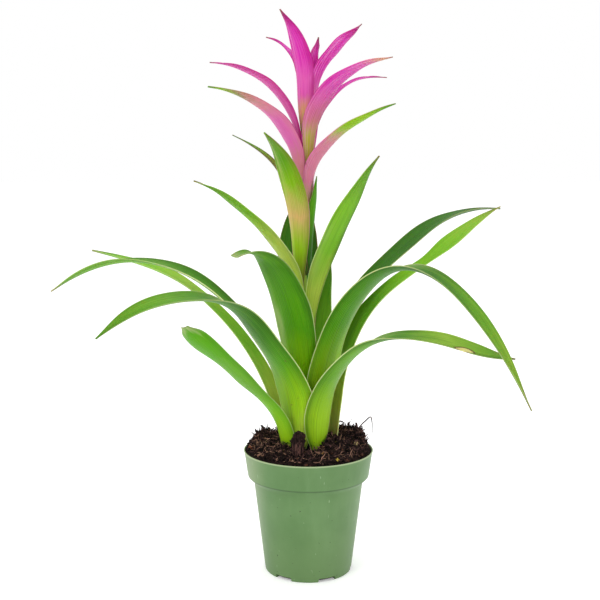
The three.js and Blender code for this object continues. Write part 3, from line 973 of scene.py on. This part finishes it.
def blade_finish(
        name, tones, tip="straw", light="pale", shade="dark", side=0.0, lit=0.25, streaks=0.10, turn=None,
        margin="edge", margin_share=0.75, veins=22, gloss=0.4, band=0.0, specks=False, scar=None):
    """tones are the ramp's, from sheath to tip. light and shade are the tones of the streaks, and lit is
    the share of light ones. side is the half painted as lit, with more pale streaks, and the other half is
    painted darker as shade: -1 the half at across 0, 1 the other, 0 neither. streaks is how far noise
    pushes the ramp. From turn on, all streaks take the tone of the tip. band is the share of the painted
    sheen, and scar the middle of the dry patch."""
    finish = Finish(name, **WAX)
    across, along_blade = finish.across_and_along()
    seed = sum(ord(letter) for letter in name) * 0.37
    edge = (across * 2 - 1).math("ABSOLUTE")
    streak = finish.noise(finish.vector(across * 26, along_blade * 2.2, seed), 1.0, 3.0, 0.6)
    thread = finish.noise(finish.vector(across * 80, along_blade * 4, seed + 5), 1.0, 2.0)
    cloud = finish.noise(finish.vector(across * 3, along_blade * 6, seed + 9), 1.0, 2.0)
    place = along_blade + (streak - 0.5) * streaks + (cloud - 0.5) * 0.14
    step = STOPS_SPAN / (len(tones) - 1)
    stops = [(FIRST_STOP + step * i, TONES[key]) for i, key in enumerate(tones)]
    colour = finish.ramp(place, stops + [(1.0, TONES[tip])])
    bright = TONES[light]
    dim = TONES[shade]
    if turn:
        past = along_blade.rise(turn - 0.1, turn + 0.1)
        bright = finish.mix(past, bright, TONES[tip])
        dim = finish.mix(past, dim, TONES[tip])
    # Pale streaks are the blade's own, and painted light adds more of them on the half that side picks; the
    # other half is painted darker, as painted shade.
    half = (across * 2 - 1) * side + (cloud - 0.5) * 0.9
    light_share = half.rise(-0.1, 0.8) * lit + lit * 0.4
    colour = finish.mix(streak.rise(0.45, 0.68) * light_share, colour, bright)
    colour = finish.mix(half.rise(-0.3, -1.1) * 0.55, colour, dim)
    colour = finish.mix(streak.rise(0.48, 0.3) * 0.4, colour, dim)
    colour = finish.mix(thread.rise(0.5, 0.72) * 0.3, colour, dim)
    ripple = (across * (veins * 2 * math.pi)).math("SINE")
    colour = finish.mix(ripple * 0.06 + 0.06, colour, dim)
    if band:
        colour = with_painted_sheen(finish, colour, along_blade, half, band)
    if specks:
        colour = with_specks(finish, colour, across, along_blade, seed + 2)
    if scar:
        colour = with_dry_patch(finish, colour, across, along_blade, thread, scar)
    inner = edge.rise(0.7, 0.88) - edge.rise(0.88, 0.95)
    colour = finish.mix(inner * 0.15, colour, dim)
    fade = 1 - along_blade.rise(0.45, 0.75) * 0.65 - along_blade.rise(0.3, 0.02) * 0.5
    colour = finish.mix(edge.rise(0.945, 0.99) * margin_share * fade, colour, TONES[margin])
    finish.set(base_color=colour, roughness=gloss + (cloud - 0.5) * 0.2)
    finish.bump(ripple + streak * 2, 0.00012, 0.8)
    return finish


# %% [markdown]
# Every blade is listed once, in the order of the solids' numbers, with the height where it leaves the
# stem, its bearings and leans from root to tip, its length and width, and the tones that it runs through.

# %% Leaves
LEAF = dict(
    thickness=1.2, rings=17, across=20, channel=0.55, flare=60, spread=3, wave=0.7,
    outline=[0.15, 0.7, 1.08, 1, 0.95, 0.95, 0.95, 0.88, 0.7, 0.42, 0.04],
    tones="lime lime grass leaf fresh fresh")
STEM_LEAF = dict(
    thickness=1.1, rings=13, across=16, channel=0.5, flare=15, spread=10, wave=0.5,
    outline=[0.25, 0.36, 0.55, 0.8, 0.96, 1, 0.97, 0.86, 0.66, 0.36, 0.05],
    tones="sheath lime fresh fresh fresh")
SLENDER = [0.15, 0.7, 1.08, 1, 0.95, 0.95, 0.95, 0.94, 0.86, 0.62, 0.04]
BLUNT = [
    0.15, 0.45, 0.7, 0.86, 0.98, 0.99, 0.98, 0.95, 0.92, 0.9,
    0.9, 0.92, 0.96, 1.02, 1.08, 1.15, 1.2, 1.2, 1.12, 0.9, 0.3]
ARCHED = [0.15, 0.7, 1.08, 1, 0.96, 0.88, 0.73, 0.57, 0.44, 0.27, 0.04]
TAPERED = [0.15, 0.7, 1.08, 1, 0.96, 0.9, 0.84, 0.79, 0.6, 0.33, 0.04]
BROAD = [0.15, 0.7, 1.03, 0.97, 0.99, 1.06, 1.12, 1.04, 0.84, 0.5, 0.28]
TWISTED = [0.15, 0.7, 1.08, 1, 0.85, 0.68, 0.7, 0.86, 0.84, 0.58, 0.04]
PINCHED = [0.3, 0.9, 1.15, 1, 0.95, 0.9, 0.8, 0.5, 0.85, 0.5, 0.04]
WAISTED = [
    0.02, 0.04, 0.42, 0.86, 1.05, 1.06, 1, 0.98, 0.99, 1.02, 1.07,
    1.08, 1, 0.86, 0.72, 0.64, 0.6, 0.56, 0.5, 0.3, 0.04]
REAR = [0.2, 0.5, 0.58, 0.62, 0.7, 0.85, 1, 1, 0.9, 0.62, 0.08]
LEAVES = [
    # leaf_01: its pale base tones are painted light, brighter than its own colour where it lies in shade.
    dict(node=95, bearings=[24, 22], length=333, width=28,
         leans=[2, 6, 22, 45, 61, 53, 66], rolls=[20, 18, 10, 5, 15, 20], outline=PINCHED,
         tones="cream glow spring grass spring spring pale", look=dict(lit=0.5, shade="leaf")),
    # leaf_02: its tip and margins take the grey of the painted sheen.
    dict(node=95, bearings=[224, 228], length=206, width=22,
         leans=[2, 11, 40, 50, 50, 53, 44], rolls=[0, 0, 5, 10, 16, 22], outline=BLUNT,
         tones="lime sheath spring fresh fresh grass grass",
         look=dict(tip="sheen_grey", margin="sheen_grey", side=-1, lit=0.1, shade="leaf")),
    dict(node=96, bearings=[296, 312, 326, 334], length=287, width=29,
         leans=[3, 6, 36, 56, 83, 102, 92], rolls=[0, 0, 0, 4, 12, 22, 26], outline=WAISTED,
         tones="sheath sheath fresh fresh leaf pale fresh",
         look=dict(side=1, lit=0.4, band=0.5, specks=True, scar=(0.2, 0.86))),
    dict(node=98, bearings=[157, 149], length=332, width=25,
         leans=[2, 17, 36, 50, 68, 79, 81], outline=TWISTED,
         tones="glow glow spring spring pale spring fresh", look=dict(side=-1, lit=0.35, shade="fresh")),
    dict(node=103, bearings=[112, 112], length=165, width=19, leans=[2, 20, 50, 58, 64]),
    dict(node=108, bearings=[84, 90], length=158, width=18, leans=[2, 21, 50, 62, 72]),
    dict(node=104, bearings=[246, 225, 215], length=318, width=37,
         leans=[2, 12, 40, 44.5, 78, 102, 125], rolls=[0, 0, 0, 0, -8, -14, -14], outline=TAPERED,
         tones="glow sheath grass deep leaf fresh fresh",
         look=dict(tip="fresh", side=-1, lit=0.3, band=0.6, specks=True)),
    dict(node=106, bearings=[309, 313, 315], length=397, width=35,
         leans=[3, 8, 30, 59, 111, 139, 148], outline=ARCHED,
         tones="sheath sheath grass leaf deep fresh pale", look=dict(side=1, band=0.6, specks=True)),
    dict(node=109, bearings=[36, 38], length=376, width=28,
         leans=[2, 8, 32, 53, 62, 79, 93], outline=SLENDER,
         tones="sheath spring leaf deep deep deep dark",
         look=dict(tip="dark", light="fresh", side=1, lit=0.15)),
    dict(node=112, bearings=[178, 166, 162], length=355, width=27,
         leans=[2, 12, 38, 55, 82, 107, 122], outline=SLENDER,
         tones="sheath spring leaf leaf fresh fresh", look=dict(side=1, lit=0.3, band=0.5)),
    dict(node=120, bearings=[66, 50], length=170, width=22, leans=[4, 10, 15, 12, 8],
         tones="glow sheath spring spring grass", look=dict(side=-1, lit=0.15)),
    # leaf_12: its tip takes the grey of the painted sheen.
    dict(node=122, bearings=[252, 249, 238, 227], length=229, width=37,
         leans=[2, 5, 13, 24, 33, 54, 108], outline=BROAD,
         tones="lime lime lime grass grass leaf fresh",
         look=dict(tip="sheen_grey", side=-1, band=0.6, specks=True)),
    dict(node=126, bearings=[112, 102, 84, 60], length=230, width=42,
         leans=[3, 4, 6, 8, 12, 20], outline=REAR,
         tones="lime grass leaf deep deep", look=dict(lit=0.1, margin="blush", margin_share=0.6)),
]
STEM_LEAVES = [
    dict(node=203, bearings=[303, 303], length=212, width=23.5, leans=[3, 13, 31, 38, 41, 50],
         tones="glow glow spring spring fresh", look=dict(side=-1, lit=0.45, band=0.3)),
    dict(node=209, bearings=[229, 222], length=211, width=20, leans=[2, 5, 39, 51, 58, 73],
         tones="glow glow glow spring fresh", look=dict(side=1, lit=0.3, band=0.3)),
]


def add_blades(kind, blades, style, slot, **looks):
    """Models, paints and hands over each listed blade. What a blade states goes before its kind's style."""
    for i, own in enumerate(blades):
        node = f"{kind}_{i + 1:02d}"
        blade = {**style, **own}
        look = {**looks, **blade.get("look", {})}
        finish = blade_finish(f"{node}_finish", blade["tones"].split(), **look)
        hand_over(blade_mesh(node, blade), f"{node}_blade", finish, blade.get("slot", slot), node)


add_blades("leaf", LEAVES, LEAF, "leaf_green")
add_blades("stem_leaf", STEM_LEAVES, STEM_LEAF, "leaf_green")

# %% [markdown]
# Bracts are leaves that have turned pink. The lowest are still green for most of their length, and the
# next ones have green tips. Most of those above them start pale at the base and deepen to magenta and
# crimson.

# %% Bracts
BRACT = dict(
    thickness=0.9, rings=12, across=14, channel=0.5, flare=25, spread=10, wave=0.4,
    outline=[0.3, 0.48, 0.7, 0.9, 1, 1, 0.95, 0.82, 0.6, 0.33, 0.05],
    tones="blush blush rose magenta magenta crimson")
LOW = dict(slot="bract_green")
BRACTS = [
    dict(LOW, node=248, bearings=[140, 158], length=184, width=16, leans=[2, 3, 4, 10, 36, 56, 67],
         tones="olive grass grass fresh olive grass", look=dict(tip="grass", light="pale", shade="dark")),
    dict(LOW, node=262, bearings=[244, 246], length=168, width=24, leans=[2, 3, 11, 35, 51, 68],
         tones="olive sheath tan lime grass fresh",
         look=dict(tip="lime", light="cream", shade="olive", lit=0.3, streaks=0.05,
                   margin="rose", margin_share=0.6)),
    dict(LOW, node=276, bearings=[348, 338], length=90, width=21, leans=[3, 4, 5, 4, 3],
         tones="dark deep grass grass",
         look=dict(tip="leaf", light="pale", shade="dark", lit=0.1, margin="blush", margin_share=0.9)),
    dict(node=300, bearings=[85, 85], length=140, width=18, leans=[3, 8, 20, 36, 50, 62],
         tones="olive blush rose blush olive lime"),
    dict(node=330, bearings=[328, 328], length=142, width=24, leans=[2, 6, 39, 58, 65, 74],
         tones="yellow blush blush blush sheath sheath fresh",
         look=dict(tip="fresh", shade="rose", margin="rose", lit=0.3, turn=0.6)),
    dict(node=344, bearings=[220, 222], length=156, width=23.5, leans=[3, 6, 30, 52, 68, 77, 87],
         tones="blush blush rose rose blush olive sheath",
         look=dict(tip="fresh", shade="blush", turn=0.85)),
    dict(node=353, bearings=[80, 84], length=130, width=16, leans=[5, 18, 38, 58, 72, 82],
         tones="blush blush rose rose blush lime"),
    dict(node=368, bearings=[308, 315], length=155, width=24, leans=[2, 9, 40, 62, 77, 86],
         tones="yellow yellow blush rose magenta magenta rose tan"),
    dict(node=382, bearings=[34, 26], length=124, width=15, leans=[3, 16, 40, 55, 79, 91]),
    dict(node=391, bearings=[203, 203], length=120, width=21, leans=[7, 25, 41, 60, 75, 88],
         tones="wine rose rose rose rose rose"),
    dict(node=397, bearings=[84, 84], length=100, width=15, leans=[8, 24, 44, 62, 76, 86]),
    dict(node=400, bearings=[248, 237], length=120, width=20, leans=[4, 2, 3, 27, 46, 57],
         tones="yellow tan rose rose magenta magenta magenta crimson"),
    dict(node=420, bearings=[145, 150], length=88, width=14, leans=[2, 7, 14, 34, 56, 73]),
    dict(node=427, bearings=[355, 316], length=87, width=25, leans=[4, 12, 30, 43, 54, 60],
         tones="pink rose magenta magenta magenta crimson"),
    dict(node=448, bearings=[310, 328], length=39, width=14, leans=[3, 6, 8, 9],
         tones="magenta magenta magenta crimson"),
]
add_blades(
    "bract", BRACTS, BRACT, "bract_pink", tip="olive", light="pink", shade="crimson", side=-1, lit=0.5,
    streaks=0.16, margin="crimson", margin_share=0.7, veins=16)

# %% [markdown]
# The stem shows only as slivers between the sheaths. It is turned like the pot, then bowed.

# %% Stem
STEM_TIP = 463
STEM_RINGS = 120
STEM_SIDES = 32
THINNEST = 0.4
stem_heights = np.linspace(STEM_HEIGHTS[0], STEM_TIP, STEM_RINGS)
stem = turned([(max(stem_radius(h), THINNEST), h) for h in stem_heights], STEM_SIDES)
spots = points_of(stem)
spots[:, 0] += [stem_x(z) for z in spots[:, 2]]
move_points(stem, spots)
smooth(stem, 60)
stem_finish = Finish("stem", roughness=0.45, specular_ior_level=0.15)
patch = stem_finish.noise(stem_finish.stretched(stem_finish.place(), (900, 900, 40)), 1.0, 3.0)
stem_finish.set(base_color=stem_finish.mix(patch, tone(122, 160, 40), tone(170, 190, 84)))
stem_finish.bump(patch, 0.0002, 0.6)
hand_over(stem, "stem_fine", stem_finish, "stem_green", "stem")
